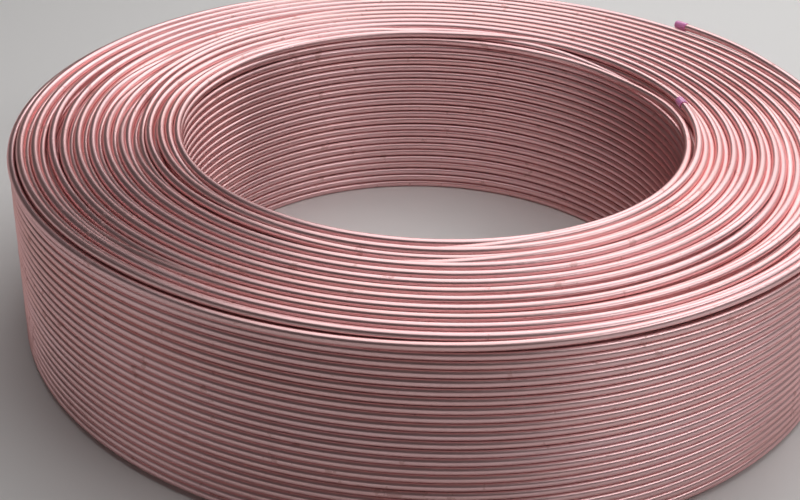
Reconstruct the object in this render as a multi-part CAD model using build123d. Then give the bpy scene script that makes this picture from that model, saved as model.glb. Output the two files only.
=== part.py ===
from build123d import *
import os
from math import atan2, ceil, cos, floor, pi, radians, sin, sqrt

# A level-wound coil of copper tube, lying on its flat side with its axis upright.
# The origin is on that axis, at the height of the floor, and +Z is up. Millimetres.

# The tube
tube_diameter = 9.52
tube_wall = 0.35

# The winding: every second layer is a turn short and lies half a turn lower,
# nested between the turns of the layer inside it
bore_diameter = 610.0
layer_count = 24
full_layer_turns = 24
turn_gap = 0.6
layer_gap = 0.15

# Each turn's section is rounded by this many flats, one of them square to each way it can face
turn_sides = 12

# The tube's two ends, which rise out of the top of the winding and lie along it
outer_end_azimuth = 44.5
inner_end_azimuth = 11.0
end_root_depth = 8.0
end_straight_length = 20.0
open_bore_depth = 19.0

# The soft plastic caps pushed over the tube's ends
cap_wall = 0.9
cap_fit = 0.05
cap_grip_length = 15.0
cap_end_thickness = 1.5
cap_edge_radius = 1.2
cap_clearance = 0.8

# Sizes worked out from the ones above
tube_radius = tube_diameter / 2
turn_pitch = tube_diameter + turn_gap
layer_step = sqrt((tube_diameter + layer_gap) ** 2 - (turn_pitch / 2) ** 2)
first_layer_radius = bore_diameter / 2 + tube_radius
top_level = tube_radius + (full_layer_turns - 1) * turn_pitch
cap_radius = tube_radius + cap_fit + cap_wall
end_rise = sqrt((cap_radius + tube_radius + cap_clearance) ** 2 - layer_step**2)
end_level = top_level + end_rise
outer_layer = layer_count - 1


def layer_radius(layer):
    return first_layer_radius + layer * layer_step


def turns_in(layer):
    return full_layer_turns - layer % 2


def turn_centre(layer, turn):
    # Turn 0 is the top one of its layer
    drop = (turn + 0.5 * (layer % 2)) * turn_pitch
    return (layer_radius(layer), top_level - drop)


def edge_turns():
    # The turns that show, in order round the section: top, outer wall, underside, bore
    top = [turn_centre(layer, 0) for layer in range(layer_count)]
    outside = [turn_centre(outer_layer, turn) for turn in range(1, turns_in(outer_layer) - 1)]
    underside = [turn_centre(layer, turns_in(layer) - 1) for layer in reversed(range(layer_count))]
    inside = [turn_centre(0, turn) for turn in reversed(range(1, turns_in(0) - 1))]
    return top + outside + underside + inside


def direction(here, there):
    return atan2(there[1] - here[1], there[0] - here[0])


def exposed_corners(before, here, after):
    # The corners of one turn's section, clockwise from the turn before it to the turn after it
    side_angle = 2 * pi / turn_sides
    corner_radius = tube_radius / cos(side_angle / 2)
    start = direction(here, before)
    finish = start - (start - direction(here, after)) % (2 * pi)
    first = ceil(start / side_angle - 0.5) - 1
    last = floor(finish / side_angle - 0.5) + 1
    angles = [(index + 0.5) * side_angle for index in range(first, last - 1, -1)]
    return [Vector(*here) + corner_radius * Vector(cos(angle), sin(angle)) for angle in angles]


def winding_section():
    # Where two turns meet, the last corner of one and the first of the next join in the cleft
    turns = edge_turns()
    ring = [turns[-1]] + turns + [turns[0]]
    exposed = [exposed_corners(*ring[index : index + 3]) for index in range(len(turns))]
    outline = []
    for index, corners in enumerate(exposed):
        outline.append((exposed[index - 1][-1] + corners[0]) / 2)
        outline.extend(corners[1:-1])
    with BuildSketch(Plane.XZ) as section:
        with BuildLine():
            Polyline(*outline, close=True)
        make_face()
    return section.sketch


def radial(azimuth):
    return Vector(cos(radians(azimuth)), sin(radians(azimuth)), 0)


def end_frame(layer, azimuth):
    # Where the tube's end lies on the winding, and the way its mouth points
    seat = radial(azimuth) * layer_radius(layer) + Vector(0, 0, end_level)
    return seat, radial(azimuth + 90)


def end_path(layer, partner, azimuth):
    # Half a turn that climbs from inside the winding through the cleft between two layers
    # to its seat on top, then a short straight length that takes the cap
    seat, forward = end_frame(layer, azimuth)
    cleft = Vector((layer_radius(layer) + layer_radius(partner)) / 2, 0, top_level - turn_pitch / 4)
    fall = (cleft - Vector(layer_radius(layer), 0, end_level)).normalized()
    root = cleft + fall * end_root_depth
    far_root = Vector(0, 0, root.Z) - radial(azimuth) * root.X
    halfway = (seat + far_root) / 2 + radial(azimuth - 90) * ((seat - far_root).length / 2)
    with BuildLine() as path:
        ThreePointArc(far_root, halfway, seat)
        Line(seat, seat + forward * end_straight_length)
    return path.line


def tube_end(layer, partner, azimuth):
    path = end_path(layer, partner, azimuth)
    start = Plane(origin=path @ 0, z_dir=path % 0)
    return sweep(start * Circle(tube_radius), path=path)


def open_mouth(layer, azimuth):
    # The hollow inside the tube, as far back as its straight length shows it
    seat, forward = end_frame(layer, azimuth)
    mouth = Plane(origin=seat + forward * end_straight_length, z_dir=-forward)
    return extrude(mouth * Circle(tube_radius - tube_wall), amount=open_bore_depth)


def end_cap(layer, azimuth):
    # A round cup over the end, gripping the tube and closed just past its mouth
    seat, forward = end_frame(layer, azimuth)
    rim = Plane(origin=seat + forward * (end_straight_length - cap_grip_length), z_dir=forward)
    socket_depth = cap_grip_length + cap_fit
    body = extrude(rim * Circle(cap_radius), amount=socket_depth + cap_end_thickness)
    closed_end = body.faces().sort_by(Axis(rim.origin, forward))[-1]
    body = fillet(closed_end.edges(), cap_edge_radius)
    return body - extrude(rim * Circle(tube_radius + cap_fit), amount=socket_depth)


def tube_coil():
    # The outer end lies on the outermost layer, and the inner end on the second layer from the bore
    coil = revolve(winding_section(), axis=Axis.Z)
    coil += tube_end(outer_layer, outer_layer - 1, outer_end_azimuth)
    coil += tube_end(1, 2, inner_end_azimuth)
    coil -= open_mouth(outer_layer, outer_end_azimuth)
    coil -= open_mouth(1, inner_end_azimuth)
    return coil


os.makedirs("parts", exist_ok=True)
export_step(tube_coil(), "parts/tube_coil.step")
export_step(end_cap(outer_layer, outer_end_azimuth), "parts/outer_end_cap.step")
export_step(end_cap(1, inner_end_azimuth), "parts/inner_end_cap.step")
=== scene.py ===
import math

import bmesh
import bpy
import numpy as np
from mathutils import Matrix, Vector


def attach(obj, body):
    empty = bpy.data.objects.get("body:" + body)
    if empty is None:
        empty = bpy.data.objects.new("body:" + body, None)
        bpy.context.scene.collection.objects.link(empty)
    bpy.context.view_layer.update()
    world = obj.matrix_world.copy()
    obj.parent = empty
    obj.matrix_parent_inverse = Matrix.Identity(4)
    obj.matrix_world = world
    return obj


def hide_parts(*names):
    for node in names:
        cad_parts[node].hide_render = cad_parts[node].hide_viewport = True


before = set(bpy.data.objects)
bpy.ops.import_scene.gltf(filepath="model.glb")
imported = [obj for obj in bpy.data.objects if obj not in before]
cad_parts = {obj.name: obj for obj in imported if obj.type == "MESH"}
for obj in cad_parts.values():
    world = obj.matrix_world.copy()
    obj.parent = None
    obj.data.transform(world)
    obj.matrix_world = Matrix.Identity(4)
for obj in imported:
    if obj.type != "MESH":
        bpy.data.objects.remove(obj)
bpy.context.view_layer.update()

scene = bpy.context.scene
print("frame loaded:", sorted(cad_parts))


# Camera, at the angle of the photograph

cameraSet = {
    "place": (0.0, -1.6383, 0.9539),   # metres
    "downTilt": 28.64,                 # degrees below level
    "leftTurn": 1.29,
    "roll": 1.62,
    "lens": 65.77,                     # mm on a 36 mm wide frame
    "clip": (0.05, 60),
}


def addCamera(values):
    data = bpy.data.cameras.new("camera")
    data.lens = values["lens"]
    data.clip_start, data.clip_end = values["clip"]
    camera = bpy.data.objects.new("camera", data)
    turn = (Matrix.Rotation(math.radians(values["leftTurn"]), 4, "Z")
            @ Matrix.Rotation(math.radians(90 - values["downTilt"]), 4, "X")
            @ Matrix.Rotation(math.radians(values["roll"]), 4, "Z"))
    camera.matrix_world = Matrix.Translation(values["place"]) @ turn
    scene.collection.objects.link(camera)
    scene.camera = camera


addCamera(cameraSet)
print("camera placed")


# The winding. Azimuths are in degrees, 0 along +X. Walks are degrees gone round the coil
# along a tube, clockwise seen from above, and a span or step is given in degrees walked.

winding = {
    "tubeRadius": 0.00476,      # metres, as all lengths here
    "boreRadius": 0.305,
    "layers": 24,
    "turns": 24,                # in every second layer, the others have one less
    "turnPitch": 0.01012,
    "layerStep": 0.00824047,
    "seat": 1.03,               # height of a tube's middle on the floor, in tube radii
    "jogSpread": 0.7,           # width of the bulge where a turn steps, in the step's half widths
    "waver": 0.00022,           # how far a turn strays from its place
    "waverRates": (0.41, 0.83, 1.37, 2.2, 3.6, 5.3),    # waves in a turn
    "seed": 7,
}
tubeRadius = winding["tubeRadius"]
pitch = winding["turnPitch"]
topLevel = tubeRadius + (winding["turns"] - 1) * pitch
outerLayer = winding["layers"] - 1
seatLevel = tubeRadius * winding["seat"]


def layerRadius(layer):
    return winding["boreRadius"] + tubeRadius + layer * winding["layerStep"]


def ease(value, start, end):
    t = np.clip((value - start) / (end - start), 0, 1)
    return t * t * (3 - 2 * t)


def held(value, span, size=1.0):
    # Rises to size over the span's first two places, and falls back over its last two
    return size * ease(value, span[0], span[1]) * (1 - ease(value, span[2], span[3]))


def bump(value, middle, width):
    return np.exp(-((value - middle) / width) ** 2)


def track(walk, points):
    # A smooth line through (walk, value) points
    at = [p[0] for p in points]
    values = [p[1] for p in points]
    result = np.full(len(walk), float(values[0]))
    for i in range(len(at) - 1):
        result += (values[i + 1] - values[i]) * ease(walk, at[i], at[i + 1])
    return result


def stray(walk, seed, size):
    # Slow uneven drift along the tube, the same each run
    chance = np.random.default_rng(winding["seed"] * 1000 + seed)
    result = np.zeros(len(walk))
    for rate in winding["waverRates"]:
        height = chance.normal()
        phase = chance.uniform(0, 2 * math.pi)
        result += height * np.sin(np.radians(walk * rate) + phase) / (1 + rate)
    return result * size


def placed(walk, startAzimuth, radius, level):
    angle = np.radians(startAzimuth - walk)
    return np.stack([radius * np.cos(angle), radius * np.sin(angle), level], 1)


def stepsFor(degreesRound, perTurn):
    return np.linspace(0, degreesRound, int(round(degreesRound / 360 * perTurn)) + 1)


# Tube meshes

tubeMesh = {
    "stepsPerTurn": 220,        # mesh steps round the coil
    "stepsPerHiddenTurn": 120,
    "sides": 16,                # of the tube's section
    "underSides": 10,
    "hiddenSides": 8,
    "straightSteps": 6,
    "markShift": 3.17,          # metres between two tubes' marks, so that no two are alike
    "sharpAngle": 60,           # degrees, less than the turn at a tube's cut end
}


def tubeBody(path, sides):
    # Rings of corners along a path that never stands upright, and the length up to each ring
    ahead = np.gradient(path, axis=0)
    ahead /= np.linalg.norm(ahead, axis=1)[:, None]
    side = np.cross(ahead, (0, 0, 1))
    side /= np.linalg.norm(side, axis=1)[:, None]
    up = np.cross(side, ahead)
    angle = np.arange(sides) * 2 * math.pi / sides
    # the corners stand out as far as the middles of the flats stand in
    reach = tubeRadius * (1 + 0.5 * (1 / math.cos(math.pi / sides) - 1))
    across = np.cos(angle)[None, :, None] * side[:, None, :]
    upright = np.sin(angle)[None, :, None] * up[:, None, :]
    steps = np.linalg.norm(np.diff(path, axis=0), axis=1)
    return path[:, None, :] + reach * (across + upright), np.concatenate([[0], np.cumsum(steps)])


def stripRows(path, perTurn):
    return max(1, math.ceil((len(path) - 1) / perTurn))


def meshPiece(name, verts, quads, endFaces, maps, material):
    # maps holds (name, corner coordinates) pairs, in the order of the quads and then the end faces
    mesh = bpy.data.meshes.new(name)
    corners = np.concatenate([quads.ravel()] + endFaces)
    starts = np.cumsum([0] + [4] * len(quads) + [len(face) for face in endFaces])[:-1]
    mesh.vertices.add(len(verts))
    mesh.vertices.foreach_set("co", verts.astype(np.float32).ravel())
    mesh.loops.add(len(corners))
    mesh.loops.foreach_set("vertex_index", corners.astype(np.int32))
    mesh.polygons.add(len(starts))
    mesh.polygons.foreach_set("loop_start", starts.astype(np.int32))
    for title, coords in maps:
        layer = mesh.uv_layers.new(name=title)
        layer.uv.foreach_set("vector", np.concatenate(coords).astype(np.float32).ravel())
    mesh.update(calc_edges=True)
    mesh.validate()
    mesh.shade_smooth()
    mesh.set_sharp_from_angle(angle=math.radians(tubeMesh["sharpAngle"]))
    piece = bpy.data.objects.new(name, mesh)
    scene.collection.objects.link(piece)
    mesh.materials.append(material)
    return piece


def tubePiece(name, tubes, material):
    # tubes is a list of (path, sides, steps per turn); each tube is a closed mesh
    verts, quads, along, strip = [], [], [], []
    endFaces, endAlong, endStrip = [], [], []
    around = 2 * math.pi * tubeRadius
    rows = sum(stripRows(path, perTurn) for path, sides, perTurn in tubes)
    first = 0
    row = 0
    for path, sides, perTurn in tubes:
        ring, length = tubeBody(path, sides)
        n = len(path)
        verts.append(ring.reshape(-1, 3))
        length = length + tubeMesh["markShift"] * len(verts)
        i, j = np.meshgrid(np.arange(n - 1), np.arange(sides), indexing="ij")
        i, j = i.ravel(), j.ravel()
        k = (j + 1) % sides
        here, there = first + i * sides, first + (i + 1) * sides
        quads.append(np.stack([here + j, there + j, there + k, here + k], 1))
        # one map in metres for the marks, and one that lays each turn in a row of its own
        u0, u1 = length[i], length[i + 1]
        v0, v1 = j / sides * around, (j + 1) / sides * around
        along.append(np.stack([u0, v0, u1, v0, u1, v1, u0, v1], 1).reshape(-1, 2))
        turn = i // perTurn
        s0, s1 = (i - turn * perTurn) / perTurn, (i - turn * perTurn + 1) / perTurn
        t0, t1 = (row + turn + j / sides) / rows, (row + turn + (j + 1) / sides) / rows
        strip.append(np.stack([s0, t0, s1, t0, s1, t1, s0, t1], 1).reshape(-1, 2))
        rim = np.arange(sides)
        for step, order in ((0, rim), (n - 1, rim[::-1])):
            endFaces.append(first + step * sides + order)
            endAlong.append(np.stack([np.full(sides, length[step]), order / sides * around], 1))
            endStrip.append(np.stack([np.zeros(sides), (row + order / sides) / rows], 1))
        row += stripRows(path, perTurn)
        first += n * sides
    maps = [("tubeLength", along + endAlong), ("OFBake", strip + endStrip)]
    return meshPiece(name, np.concatenate(verts), np.concatenate(quads), endFaces, maps, material)


def wallTube(path):
    # With as many sides and steps as the walls need
    return path, tubeMesh["sides"], tubeMesh["stepsPerTurn"]


# Materials

def newGroup(name, inputs, outputs):
    group = bpy.data.node_groups.new(name, "ShaderNodeTree")
    for title, value in inputs:
        socket = group.interface.new_socket(name=title, in_out="INPUT", socket_type="NodeSocketFloat")
        socket.default_value = value
    for title in outputs:
        group.interface.new_socket(name=title, in_out="OUTPUT", socket_type="NodeSocketFloat")
    return group, group.nodes.new("NodeGroupInput"), group.nodes.new("NodeGroupOutput")


def addNode(tree, kind, inputs=None, **settings):
    node = tree.nodes.new(kind)
    for key, value in settings.items():
        setattr(node, key, value)
    for key, value in (inputs or {}).items():
        node.inputs[key].default_value = value
    return node


noiseSet = {
    "mottle": {"Detail": 4.0, "Roughness": 0.6},
    "streaks": {"Scale": 1.0, "Detail": 3.0},
    "streakSpread": {"From Min": 0.28, "From Max": 0.72},
}


def mottleGroup(values):
    # Soft cloudy patches, from 0 to 1
    group, start, end = newGroup("surfaceMottle", [("Scale", 8.0), ("Contrast", 0.5)], ["Mask"])
    coords = addNode(group, "ShaderNodeTexCoord")
    noise = addNode(group, "ShaderNodeTexNoise", values["mottle"])
    spread = addNode(group, "ShaderNodeMapRange")
    half = addNode(group, "ShaderNodeMath", {1: 0.5}, operation="MULTIPLY")
    low = addNode(group, "ShaderNodeMath", {0: 0.5}, operation="SUBTRACT")
    high = addNode(group, "ShaderNodeMath", {0: 0.5}, operation="ADD")
    link = group.links.new
    link(coords.outputs["Object"], noise.inputs["Vector"])
    link(start.outputs["Scale"], noise.inputs["Scale"])
    link(start.outputs["Contrast"], half.inputs[0])
    link(half.outputs[0], low.inputs[1])
    link(half.outputs[0], high.inputs[1])
    link(noise.outputs["Fac"], spread.inputs["Value"])
    link(low.outputs[0], spread.inputs["From Min"])
    link(high.outputs[0], spread.inputs["From Max"])
    link(spread.outputs["Result"], end.inputs["Mask"])
    return group


def streakGroup(values):
    # Noise drawn out along a tube, from 0 to 1
    group, start, end = newGroup("tubeStreaks", [("Along", 3.0), ("Across", 700.0)], ["Mask"])
    uv = addNode(group, "ShaderNodeUVMap", uv_map="tubeLength")
    scales = addNode(group, "ShaderNodeCombineXYZ")
    stretch = addNode(group, "ShaderNodeVectorMath", operation="MULTIPLY")
    noise = addNode(group, "ShaderNodeTexNoise", values["streaks"])
    spread = addNode(group, "ShaderNodeMapRange", values["streakSpread"])
    link = group.links.new
    link(start.outputs["Along"], scales.inputs["X"])
    link(start.outputs["Across"], scales.inputs["Y"])
    link(uv.outputs["UV"], stretch.inputs[0])
    link(scales.outputs["Vector"], stretch.inputs[1])
    link(stretch.outputs["Vector"], noise.inputs["Vector"])
    link(noise.outputs["Fac"], spread.inputs["Value"])
    link(spread.outputs["Result"], end.inputs["Mask"])
    return group


surfaceMottle = mottleGroup(noiseSet)
tubeStreaks = streakGroup(noiseSet)


def newMaterial(name, sockets):
    material = bpy.data.materials.new(name)
    material.use_nodes = True
    tree = material.node_tree
    shader = tree.nodes["Principled BSDF"]
    for key, value in sockets.items():
        shader.inputs[key].default_value = value
    return material, tree, shader


def maskFrom(tree, group, values):
    # A mask between 0 and 1 over the surface
    return addNode(tree, "ShaderNodeGroup", values, node_tree=group).outputs["Mask"]


def scaled(tree, value, factor, addend=0.0):
    # value times factor, plus a number or another value
    node = addNode(tree, "ShaderNodeMath", {1: factor}, operation="MULTIPLY_ADD")
    tree.links.new(value, node.inputs[0])
    if isinstance(addend, float):
        node.inputs[2].default_value = addend
    else:
        tree.links.new(addend, node.inputs[2])
    return node.outputs[0]


def blended(tree, first, second, amount):
    # first is a colour or a value, second a colour
    node = addNode(tree, "ShaderNodeMix", data_type="RGBA")
    if isinstance(first, tuple):
        node.inputs["A"].default_value = first
    else:
        tree.links.new(first, node.inputs["A"])
    node.inputs["B"].default_value = second
    tree.links.new(amount, node.inputs["Factor"])
    return node.outputs["Result"]


def addRelief(tree, shader, height, strength, distance):
    relief = addNode(tree, "ShaderNodeBump", {"Strength": strength, "Distance": distance})
    tree.links.new(height, relief.inputs["Height"])
    tree.links.new(relief.outputs["Normal"], shader.inputs["Normal"])


copperFinish = {
    "colour": (0.91, 0.655, 0.675, 1),
    "dusky": (0.84, 0.54, 0.555, 1),
    "warm": (0.89, 0.51, 0.455, 1),
    "tarnish": (0.62, 0.35, 0.33, 1),
    "edge": (1.0, 0.74, 0.72, 1),                   # tint of the reflection at a glancing angle
    "streaks": {"Along": 2.5, "Across": 700.0},     # per metre, marks of the drawing of the tube
    "bands": {"Along": 1.3, "Across": 0.0},         # slow changes of tone along a tube
    "clouds": {"Scale": 7.0, "Contrast": 0.4},
    "spots": {"Scale": 45.0, "Contrast": 0.34},     # small dull places
    "duskyFromStreaks": 0.6,
    "duskyFromClouds": 0.4,
    "warmFromBands": 0.4,
    "spotsFrom": 0.93,      # only the tops of their noise are dull
    "spotsMost": 0.5,
    "roughness": 0.29,
    "roughnessSpread": 0.10,
    "spotRoughness": 0.25,
    "streakHeight": 0.000008,
    "streakRelief": 0.3,
}


def copperMaterial(values):
    sockets = {"Metallic": 1.0, "Specular Tint": values["edge"]}
    material, tree, shader = newMaterial("softCopper", sockets)
    link = tree.links.new
    streaks = maskFrom(tree, tubeStreaks, values["streaks"])
    bands = maskFrom(tree, tubeStreaks, values["bands"])
    clouds = maskFrom(tree, surfaceMottle, values["clouds"])
    spots = maskFrom(tree, surfaceMottle, values["spots"])
    limits = {"From Min": values["spotsFrom"], "To Max": values["spotsMost"]}
    dullness = addNode(tree, "ShaderNodeMapRange", limits)
    link(spots, dullness.inputs["Value"])
    dull = dullness.outputs["Result"]

    shade = scaled(tree, streaks, values["duskyFromStreaks"])
    shade = scaled(tree, clouds, values["duskyFromClouds"], shade)
    colour = blended(tree, values["colour"], values["dusky"], shade)
    colour = blended(tree, colour, values["warm"], scaled(tree, bands, values["warmFromBands"]))
    colour = blended(tree, colour, values["tarnish"], dull)
    link(colour, shader.inputs["Base Color"])

    rough = scaled(tree, shade, values["roughnessSpread"], values["roughness"])
    link(scaled(tree, dull, values["spotRoughness"], rough), shader.inputs["Roughness"])
    addRelief(tree, shader, streaks, values["streakRelief"], values["streakHeight"])
    return material


softCopper = copperMaterial(copperFinish)

capFinish = {
    "colour": (1.0, 0.36, 0.70, 1),
    "worn": (0.97, 0.26, 0.58, 1),
    "sockets": {
        "Subsurface Weight": 0.35,
        "Subsurface Radius": (0.004, 0.001, 0.002),
        "Subsurface Scale": 1.0,
        "Coat Weight": 0.5,
        "Coat Roughness": 0.12,
    },
    "clouds": {"Scale": 140.0, "Contrast": 0.6},
    "grain": {"Scale": 900.0, "Contrast": 0.7},
    "roughness": 0.26,
    "roughnessSpread": 0.14,
    "grainHeight": 0.00006,
    "grainRelief": 0.35,
}


def capMaterial(values):
    material, tree, shader = newMaterial("softCapPlastic", values["sockets"])
    link = tree.links.new
    clouds = maskFrom(tree, surfaceMottle, values["clouds"])
    grain = maskFrom(tree, surfaceMottle, values["grain"])
    link(blended(tree, values["colour"], values["worn"], clouds), shader.inputs["Base Color"])
    rough = scaled(tree, clouds, values["roughnessSpread"], values["roughness"])
    link(rough, shader.inputs["Roughness"])
    addRelief(tree, shader, grain, values["grainRelief"], values["grainHeight"])
    return material


capPlastic = capMaterial(capFinish)
print("materials made")


# The outer wall, walked down from the tube's outer end

outerWall = {
    "endAzimuth": 44.5,
    "endStraight": 0.020,
    "endLift": 0.00769,          # of the end's middle over the high turns
    "steady": (4, 20),           # the end lies true before this walk, and strays after it
    "lifts": [(40, 0.0075), (90, 0.0042), (160, 0)],    # walk, and height over the low turns
    "firstJog": (362.0, 15.0),   # the turn under the end steps down just past it
    "jogWalk": 330.0,            # where each other turn steps down to the next one
    "jogWidth": 22.0,            # half the length of a step
    "jogBulge": 0.0013,
    "turns": 23,
    "freeSpan": (86, 146, 221, 296),    # where the top turn stands off the layer inside it
    "rimStandOff": 0.0016,
    "rimDrop": 0.0012,
    "tail": (90.0, 30.0),        # short of the last turn's close, where it passes inwards
    "seeds": (1, 2),             # of the strays in height and sideways
}


def outerWallPath(values):
    tailStart, tailEnd = (values["turns"] * 360 - before for before in values["tail"])
    walk = stepsFor(tailEnd, tubeMesh["stepsPerTurn"])
    levelStray, radiusStray = (stray(walk, seed, winding["waver"]) for seed in values["seeds"])
    drop = np.zeros(len(walk))
    bulge = np.zeros(len(walk))
    jogs = [values["firstJog"]]
    for turn in range(1, values["turns"] - 1):
        jogs.append((values["jogWalk"] + 360 * turn, values["jogWidth"]))
    for middle, width in jogs:
        drop += ease(walk, middle - width, middle + width)
        bulge += bump(walk, middle, width * winding["jogSpread"])
    low = topLevel - pitch / 2
    lift = track(walk, [(0, values["endLift"] + pitch / 2)] + values["lifts"])
    free = held(walk, values["freeSpan"])
    level = low - drop * pitch + lift - free * values["rimDrop"] + levelStray
    radius = layerRadius(outerLayer) + bulge * values["jogBulge"] + radiusStray
    radius = radius + free * values["rimStandOff"]
    tail = ease(walk, tailStart, tailEnd)
    level = np.maximum(level - tail * pitch / 2, seatLevel)
    radius = radius - tail * winding["layerStep"]
    fade = ease(walk, *values["steady"])
    level = level * fade + (topLevel + values["endLift"]) * (1 - fade)
    radius = radius * fade + layerRadius(outerLayer) * (1 - fade)
    path = placed(walk, values["endAzimuth"], radius, level)
    return straightEnd(path, values["endAzimuth"], values["endStraight"])


def straightEnd(path, azimuth, length):
    # The tube's end goes straight on, past the path's first point
    angle = math.radians(azimuth + 90)
    forward = np.array([math.cos(angle), math.sin(angle), 0])
    steps = np.linspace(length, 0, tubeMesh["straightSteps"] + 1)[:-1]
    return np.concatenate([path[0] + steps[:, None] * forward, path])


outerTurns = tubePiece("outer_wall_turns", [wallTube(outerWallPath(outerWall))], softCopper)
print("outer wall:", len(outerTurns.data.polygons))


# The bore wall, walked up from its lowest turn, and the turn that leaves it over the top

boreWall = {
    "startAzimuth": -90.0,      # at the front
    "startOutwards": 30.0,      # walk over which the lowest turn comes in from the second layer
    "turns": 24,
    "extraTurns": 2,
    "jogWidth": 22.0,           # half the length of a step
    "jogBulge": 0.0013,
    "levelWaver": 0.8,          # of the stray's full size
    "lastRise": (20.0, 19.0),   # azimuth and half length of the top turn's own rise
    # the walks below are counted from azimuth 40, where the top turn begins to rise
    "secondSpan": (-205, -165, -115, -85),      # at the left the turn below it is higher and further in
    "secondRise": 0.28,         # of a pitch
    "secondIn": 0.0018,
    "pushedSpan": (-66, -21, 39, 99),           # beside the inner end it is pushed in
    "pushedIn": 0.0037,
    "crossOver": [(310, 0), (342, 2)],          # layers that it passes outwards, at the back
    "besideSpan": (499, 549, 584, 614),         # at the left it then stands up and out
    "besideOut": 0.0030,
    "besideUp": 0.0022,
    "sink": (649, 684),         # where it goes down by a pitch
    "stopsAt": 950,
    "seeds": (4, 3),            # of the strays in height and sideways
}


def boreWallPath(values):
    turns = values["turns"]
    walk = stepsFor((turns + values["extraTurns"]) * 360, tubeMesh["stepsPerTurn"])
    levelSeed, radiusSeed = values["seeds"]
    lastAzimuth, lastWidth = values["lastRise"]
    lastMiddle = 360 * (turns - 2) + (values["startAzimuth"] - lastAzimuth) % 360
    top = walk - lastMiddle + lastAzimuth
    rise = np.zeros(len(walk))
    bulge = np.zeros(len(walk))
    for turn in range(turns - 2):
        middle = 360 * (turn + 1)
        rise += ease(walk, middle - values["jogWidth"], middle + values["jogWidth"])
        bulge += bump(walk, middle, values["jogWidth"] * winding["jogSpread"])
    rise += ease(walk, lastMiddle - lastWidth, lastMiddle + lastWidth)
    level = tubeRadius + rise * pitch + stray(walk, levelSeed, winding["waver"] * values["levelWaver"])
    level = np.maximum(level, seatLevel)
    radius = layerRadius(0) - bulge * values["jogBulge"] + stray(walk, radiusSeed, winding["waver"])
    second = held(top, values["secondSpan"])
    level = level + second * values["secondRise"] * pitch
    radius = radius - second * values["secondIn"]
    radius = radius - held(top, values["pushedSpan"], values["pushedIn"])
    start = 1 - ease(walk, 0, values["startOutwards"])
    radius = radius + start * winding["layerStep"]
    level = level + start * pitch / 2
    radius = radius + track(top, values["crossOver"]) * winding["layerStep"]
    beside = held(top, values["besideSpan"])
    radius = radius + values["besideOut"] * beside
    level = level + values["besideUp"] * beside
    level = level - ease(top, *values["sink"]) * pitch
    return placed(walk, values["startAzimuth"], radius, level)[top < values["stopsAt"]]


boreTurns = tubePiece("bore_wall_turns", [wallTube(boreWallPath(boreWall))], softCopper)
print("bore wall:", len(boreTurns.data.polygons))


# The inner end, on the second layer

innerEnd = {
    "azimuth": 11.0,
    "straight": 0.020,
    "length": 660,      # walk to where it stops, below its own start
    # walk from the end, and the height over the high turns
    "heights": [(0, 0.00769), (38, 0.0030), (74, 0.0026), (108, -0.00506), (146, -0.00506),
                (186, 0.0014), (228, 0.0014), (262, -0.00506), (303, -0.00506), (340, -0.01518)],
    "outwards": [(0, 0.0), (20, 0.0), (45, -0.0010), (80, -0.0010), (110, 0.0),
                 (146, 0.0), (186, 0.0016), (228, 0.0016), (262, 0.0)],
}


def innerEndPath(values):
    walk = stepsFor(values["length"], tubeMesh["stepsPerTurn"])
    level = topLevel + track(walk, values["heights"])
    radius = layerRadius(1) + track(walk, values["outwards"])
    path = placed(walk, values["azimuth"], radius, level)
    return straightEnd(path, values["azimuth"], values["straight"])


innerTurns = tubePiece("inner_end_turns", [wallTube(innerEndPath(innerEnd))], softCopper)


# The top and the underside: each pair of layers joins over the edge

topPairs = {
    "boreSide": [3, 5, 7, 9, 11],       # the low layer of each pair
    "rimSide": [13, 15, 17, 19, 21],
    # where each pair crosses
    "azimuths": {3: -121, 5: 166, 7: 152, 9: 138, 11: 124, 13: -38, 15: -50, 17: -165, 19: -33, 21: 78},
    "stepsPerTurn": 192,
    "reach": 700.0,         # walk each way from the crossing
    "trim": 13,             # steps left off each end, where the tube would run into itself
    "crossWidth": 26.0,     # half the length of the crossing
    "hump": 0.12,           # of a pitch, at the crossing
    "humpWidth": 0.6,       # in the crossing's half lengths
    "apart": 34.0,          # walk between a crossing and the steps down beside it
    "jogWidth": 18.0,       # half the length of a step down
    "stray": 0.00025,
    "seeds": (20, 60),      # of the strays sideways and in height, each plus the layer
}
underPairs = {
    "boreSide": [1, 3, 5, 7, 9, 11],
    "rimSide": [13, 15, 17, 19, 21],
    "azimuthStep": 67,      # degrees from a layer's crossing to the next one's
}


def pairPath(layer, azimuth, values, mirror=False):
    # The low layer's second turn and top turn, then the high layer's top turn and second turn
    walk = stepsFor(2 * values["reach"], values["stepsPerTurn"])[values["trim"]:-values["trim"]]
    cross = values["reach"]
    half = values["jogWidth"]
    before = cross - 360 + values["apart"]
    after = cross + 360 - values["apart"]
    across = ease(walk, cross - values["crossWidth"], cross + values["crossWidth"])
    up = ease(walk, before - half, before + half)
    down = ease(walk, after - half, after + half)
    offset = -1.5 + up + 0.5 * across - down        # in pitches, from the high turns
    offset = offset + values["hump"] * bump(walk, cross, values["crossWidth"] * values["humpWidth"])
    sideSeed, levelSeed = values["seeds"]
    sideStray = stray(walk, sideSeed + layer, values["stray"])
    radius = layerRadius(layer) + across * winding["layerStep"] + sideStray
    lift = offset * pitch + stray(walk, levelSeed + layer, values["stray"])
    level = topLevel + lift
    if mirror:
        level = np.maximum(topLevel + tubeRadius - level, seatLevel)
    return placed(walk, azimuth + cross, radius, level)


def pairTubes(layers, azimuths, mirror=False):
    sides = tubeMesh["underSides"] if mirror else tubeMesh["sides"]
    perTurn = topPairs["stepsPerTurn"]
    return [(pairPath(layer, azimuths[layer], topPairs, mirror), sides, perTurn) for layer in layers]


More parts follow.
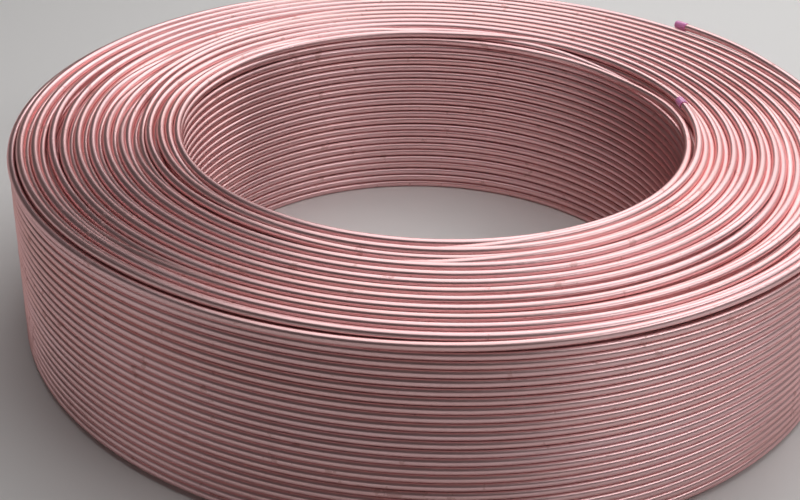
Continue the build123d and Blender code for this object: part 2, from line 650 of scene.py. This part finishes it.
topAzimuths = topPairs["azimuths"]
topInner = tubePiece("top_turns_bore_side", pairTubes(topPairs["boreSide"], topAzimuths), softCopper)
topOuter = tubePiece("top_turns_rim_side", pairTubes(topPairs["rimSide"], topAzimuths), softCopper)
underLayers = underPairs["boreSide"] + underPairs["rimSide"]
underAzimuths = {layer: (layer * underPairs["azimuthStep"]) % 360 for layer in underLayers}
underInnerTubes = pairTubes(underPairs["boreSide"], underAzimuths, True)
underOuterTubes = pairTubes(underPairs["rimSide"], underAzimuths, True)
bottomInner = tubePiece("under_turns_bore_side", underInnerTubes, softCopper)
bottomOuter = tubePiece("under_turns_rim_side", underOuterTubes, softCopper)


# The rings nested behind the two walls, seen only between their turns

nestedRings = {
    # layer, and the first and last turn, counted down from 0
    "rim": (outerLayer - 1, 2, 21),
    "bore": (1, 2, 20),
}


def backingRings(rings):
    tubes = []
    walk = stepsFor(360, tubeMesh["stepsPerHiddenTurn"])
    for layer, firstTurn, lastTurn in rings.values():
        for turn in range(firstTurn, lastTurn + 1):
            level = topLevel - (turn + 0.5 * (layer % 2)) * pitch
            path = placed(walk, 0, np.full(len(walk), layerRadius(layer)), np.full(len(walk), level))
            tubes.append((path, tubeMesh["hiddenSides"], tubeMesh["stepsPerHiddenTurn"]))
    return tubes


nextTurns = tubePiece("nested_turns", backingRings(nestedRings), softCopper)
print("top, underside and nested turns made")


# The caps

capShape = {
    "sides": 40,
    "start": 0.003,         # of the cap, from where the tube's straight end begins
    "length": 0.01855,
    "squeeze": 0.018,       # how far from round a finger and thumb left it
    "squeezeTurn": 0.6,     # radians round the cap
    "squeezeOver": 0.005,   # only wider rings give
    # distance from the open edge, and radius: socket, rolled lip, then the tapered wall
    "lip": [(0.01705, 0.00482), (0.0016, 0.00482), (0.0002, 0.00485), (-0.0001, 0.00520), (0.0002, 0.00578),
            (0.0009, 0.00598), (0.0017, 0.00590), (0.0023, 0.00574), (0.0032, 0.00571)],
    # distance back from the closed end, and radius: rounded edge and a small gate mark
    "closedEnd": [(0.0090, 0.00569), (0.0045, 0.00565), (0.00195, 0.00562), (0.00105, 0.00550),
                  (0.00045, 0.00522), (0.00010, 0.00470), (0.0, 0.00390), (0.0, 0.00220),
                  (0.00005, 0.00130), (0.00025, 0.00105), (0.00040, 0.00070)],
}


def capPiece(name, layer, azimuth, values):
    angle = math.radians(azimuth)
    out = Vector((math.cos(angle), math.sin(angle), 0))
    forward = Vector((-math.sin(angle), math.cos(angle), 0))
    up = Vector((0, 0, 1))
    seat = out * layerRadius(layer) + Vector((0, 0, topLevel + outerWall["endLift"]))
    build = bmesh.new()
    rings = []
    outline = values["lip"] + [(values["length"] - back, radius) for back, radius in values["closedEnd"]]
    for along, radius in outline:
        ring = []
        middle = seat + forward * (values["start"] + along)
        soft = 0.0
        if radius > values["squeezeOver"]:
            soft = values["squeeze"] * max(0.0, math.sin(math.pi * min(along / values["length"], 1)))
        for i in range(values["sides"]):
            turn = 2 * math.pi * i / values["sides"]
            reach = radius * (1 - soft * math.cos(2 * turn + values["squeezeTurn"]))
            ring.append(build.verts.new(middle + reach * (math.cos(turn) * out + math.sin(turn) * up)))
        rings.append(ring)
    for ring, after in zip(rings, rings[1:]):
        for i in range(values["sides"]):
            k = (i + 1) % values["sides"]
            build.faces.new((ring[i], ring[k], after[k], after[i]))
    build.faces.new(rings[0])
    build.faces.new(rings[-1])
    bmesh.ops.recalc_face_normals(build, faces=build.faces)
    mesh = bpy.data.meshes.new(name)
    build.to_mesh(mesh)
    build.free()
    mesh.shade_smooth()
    mesh.materials.append(capPlastic)
    piece = bpy.data.objects.new(name, mesh)
    scene.collection.objects.link(piece)
    return piece


outerCap = capPiece("outer_soft_cap", outerLayer, outerWall["endAzimuth"], capShape)
innerCap = capPiece("inner_soft_cap", 1, innerEnd["azimuth"], capShape)
print("caps made")


# Floor and light

floorFinish = {
    "colour": (0.82, 0.81, 0.80, 1),
    "roughness": 0.7,
    "sides": 96,
    # radius and height of the sweep that rises far behind
    "sweep": [(3, 0), (8, 0), (11, 0), (12.5, 0.10), (13.8, 0.45), (14.7, 1.05), (15.2, 1.80), (15.3, 2.60)],
    "farGlow": 0.46,            # of the far floor, as the camera and the metal see it
    "farFrom": 1.4,             # metres from the middle
    "farTo": 3.0,
}


def floorMaterial(values):
    # Pale through rays from the camera and from glossy or clear surfaces only
    sockets = {
        "Base Color": values["colour"],
        "Roughness": values["roughness"],
        "Emission Color": values["colour"],
    }
    material, tree, shader = newMaterial("paleFloor", sockets)
    link = tree.links.new
    coords = addNode(tree, "ShaderNodeTexCoord")
    distance = addNode(tree, "ShaderNodeVectorMath", operation="LENGTH")
    limits = {"From Min": values["farFrom"], "From Max": values["farTo"], "To Max": values["farGlow"]}
    far = addNode(tree, "ShaderNodeMapRange", limits, interpolation_type="SMOOTHSTEP")
    rays = addNode(tree, "ShaderNodeLightPath")
    seen = addNode(tree, "ShaderNodeMath", operation="MAXIMUM")
    seenToo = addNode(tree, "ShaderNodeMath", operation="MAXIMUM")
    glow = addNode(tree, "ShaderNodeMath", operation="MULTIPLY")
    link(coords.outputs["Object"], distance.inputs[0])
    link(distance.outputs["Value"], far.inputs["Value"])
    link(rays.outputs["Is Camera Ray"], seen.inputs[0])
    link(rays.outputs["Is Glossy Ray"], seen.inputs[1])
    link(seen.outputs[0], seenToo.inputs[0])
    link(rays.outputs["Is Transmission Ray"], seenToo.inputs[1])
    link(seenToo.outputs[0], glow.inputs[0])
    link(far.outputs["Result"], glow.inputs[1])
    link(glow.outputs[0], shader.inputs["Emission Strength"])
    return material


def addFloor(values):
    mesh = bpy.data.meshes.new("floor")
    sides = values["sides"]
    verts = [(0, 0, 0)]
    for radius, height in values["sweep"]:
        for i in range(sides):
            turn = 2 * math.pi * i / sides
            verts.append((radius * math.cos(turn), radius * math.sin(turn), height))
    faces = [(0, 1 + i, 1 + (i + 1) % sides) for i in range(sides)]
    for ring in range(len(values["sweep"]) - 1):
        inner, outer = 1 + ring * sides, 1 + (ring + 1) * sides
        for i in range(sides):
            k = (i + 1) % sides
            faces.append((inner + i, outer + i, outer + k, inner + k))
    mesh.from_pydata(verts, [], faces)
    mesh.shade_smooth()
    mesh.materials.append(floorMaterial(values))
    floor = bpy.data.objects.new("floor", mesh)
    scene.collection.objects.link(floor)


lamps = {
    "backPanel": {"place": (1.25, 2.15, 2.05), "aim": (0, 0, 0.1), "size": (4.2, 2.8), "power": 34},
    "backStrip": {"place": (1.05, 2.05, 1.75), "aim": (0, 0, 0.1), "size": (3.2, 0.4), "power": 8},
    "topPanel": {"place": (0.15, 0.3, 2.45), "aim": (0.05, 0, 0.1), "size": (2.4, 2.9), "power": 29},
    "rightFront": {"place": (1.6, -0.75, 1.55), "aim": (0, -0.1, 0.1), "size": (1.8, 0.35), "power": 7.5},
    "leftFront": {"place": (-2.3, -0.9, 0.9), "aim": (0, 0, 0.1), "size": (1.1, 0.9), "power": 0.8},
}


def addLamp(name, values):
    data = bpy.data.lights.new(name, "AREA")
    data.shape = "RECTANGLE"
    data.size, data.size_y = values["size"]
    data.energy = values["power"]
    lamp = bpy.data.objects.new(name, data)
    lamp.location = values["place"]
    facing = Vector(values["aim"]) - Vector(values["place"])
    lamp.rotation_euler = facing.to_track_quat("-Z", "Y").to_euler()
    scene.collection.objects.link(lamp)


worldLight = {
    "Color": (1.0, 0.88, 0.87, 1),
    "Strength": 0.055,
}


def addWorld(values):
    world = bpy.data.worlds.new("studio")
    world.use_nodes = True
    back = world.node_tree.nodes["Background"]
    for key, value in values.items():
        back.inputs[key].default_value = value
    scene.world = world


addFloor(floorFinish)
for lampName, lampValues in lamps.items():
    addLamp(lampName, lampValues)
addWorld(worldLight)
scene.view_settings.view_transform = "Standard"
print("floor and lights placed")


# The pieces ride on the coil

copperPieces = [outerTurns, boreTurns, innerTurns, topInner, topOuter, bottomInner, bottomOuter, nextTurns]
for piece in copperPieces:
    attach(piece, "root")
    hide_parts("tube_coil")
for piece, node in ((outerCap, "outer_end_cap"), (innerCap, "inner_end_cap")):
    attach(piece, "root")
    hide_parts(node)
